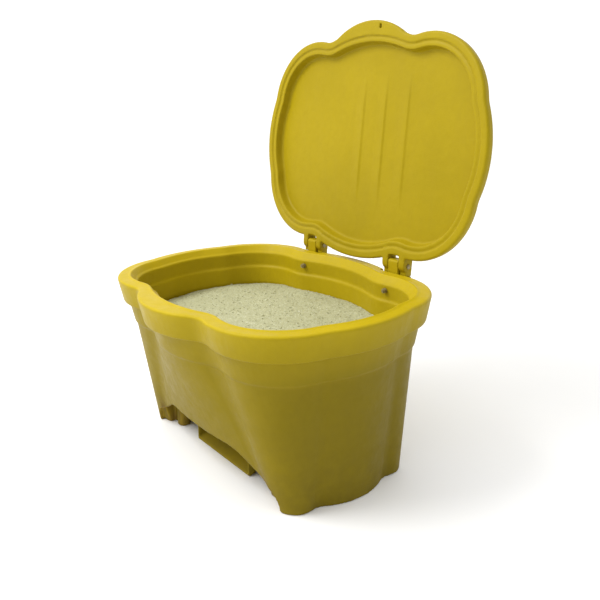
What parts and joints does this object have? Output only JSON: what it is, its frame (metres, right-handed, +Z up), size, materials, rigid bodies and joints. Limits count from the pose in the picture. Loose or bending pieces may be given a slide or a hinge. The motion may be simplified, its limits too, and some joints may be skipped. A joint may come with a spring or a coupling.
{
  "type": "grit salt bin",
  "caption": "Lobed moulded plastic grit bin on the ground with a hinged lid standing open, grit inside and a draw-off chute under a front arch.",
  "frame": {"origin": "on the floor under the middle of the open bin's outer box", "axes": "+Z up, the front with the arch and the lid's grip faces -Y, +X is the right-hand side seen from the front, the hinges are at +Y"},
  "size_m": [1, 0.8579, 1.2691],
  "materials": {
    "tub_plastic": "yellow rotational-moulded polyethylene, faint orange-peel grain",
    "lid_plastic": "yellow rotational-moulded polyethylene, faint orange-peel grain",
    "hinge_plastic": "yellow moulded polyethylene",
    "chute_plastic": "yellow moulded polyethylene, scuffed by grit",
    "zinc_steel": "zinc plated steel",
    "cap_plastic": "black nylon",
    "grit": "loose rock salt and grit, matt and grainy"
  },
  "bodies": {
    "bin": {"tub": "tub_plastic", "hinge_bracket_left": "hinge_plastic", "hinge_bracket_right": "hinge_plastic", "bracket_bolts": "zinc_steel", "bracket_washers": "zinc_steel", "bracket_nuts": "zinc_steel", "outlet_chute": "chute_plastic", "chute_screws": "zinc_steel", "grit_fill": "grit"},
    "lid_body": {"lid": "lid_plastic", "hinge_pin_left": "zinc_steel", "hinge_pin_right": "zinc_steel", "pin_caps": "cap_plastic"}
  },
  "joints": [
    {"name": "lid_hinge", "type": "hinge", "parent": "bin", "child": "lid_body", "pos_m": [0, 0.31452, 0.5323], "axis": [-1, 0, 0], "range_deg": [-97.9, 0]}
  ]
}
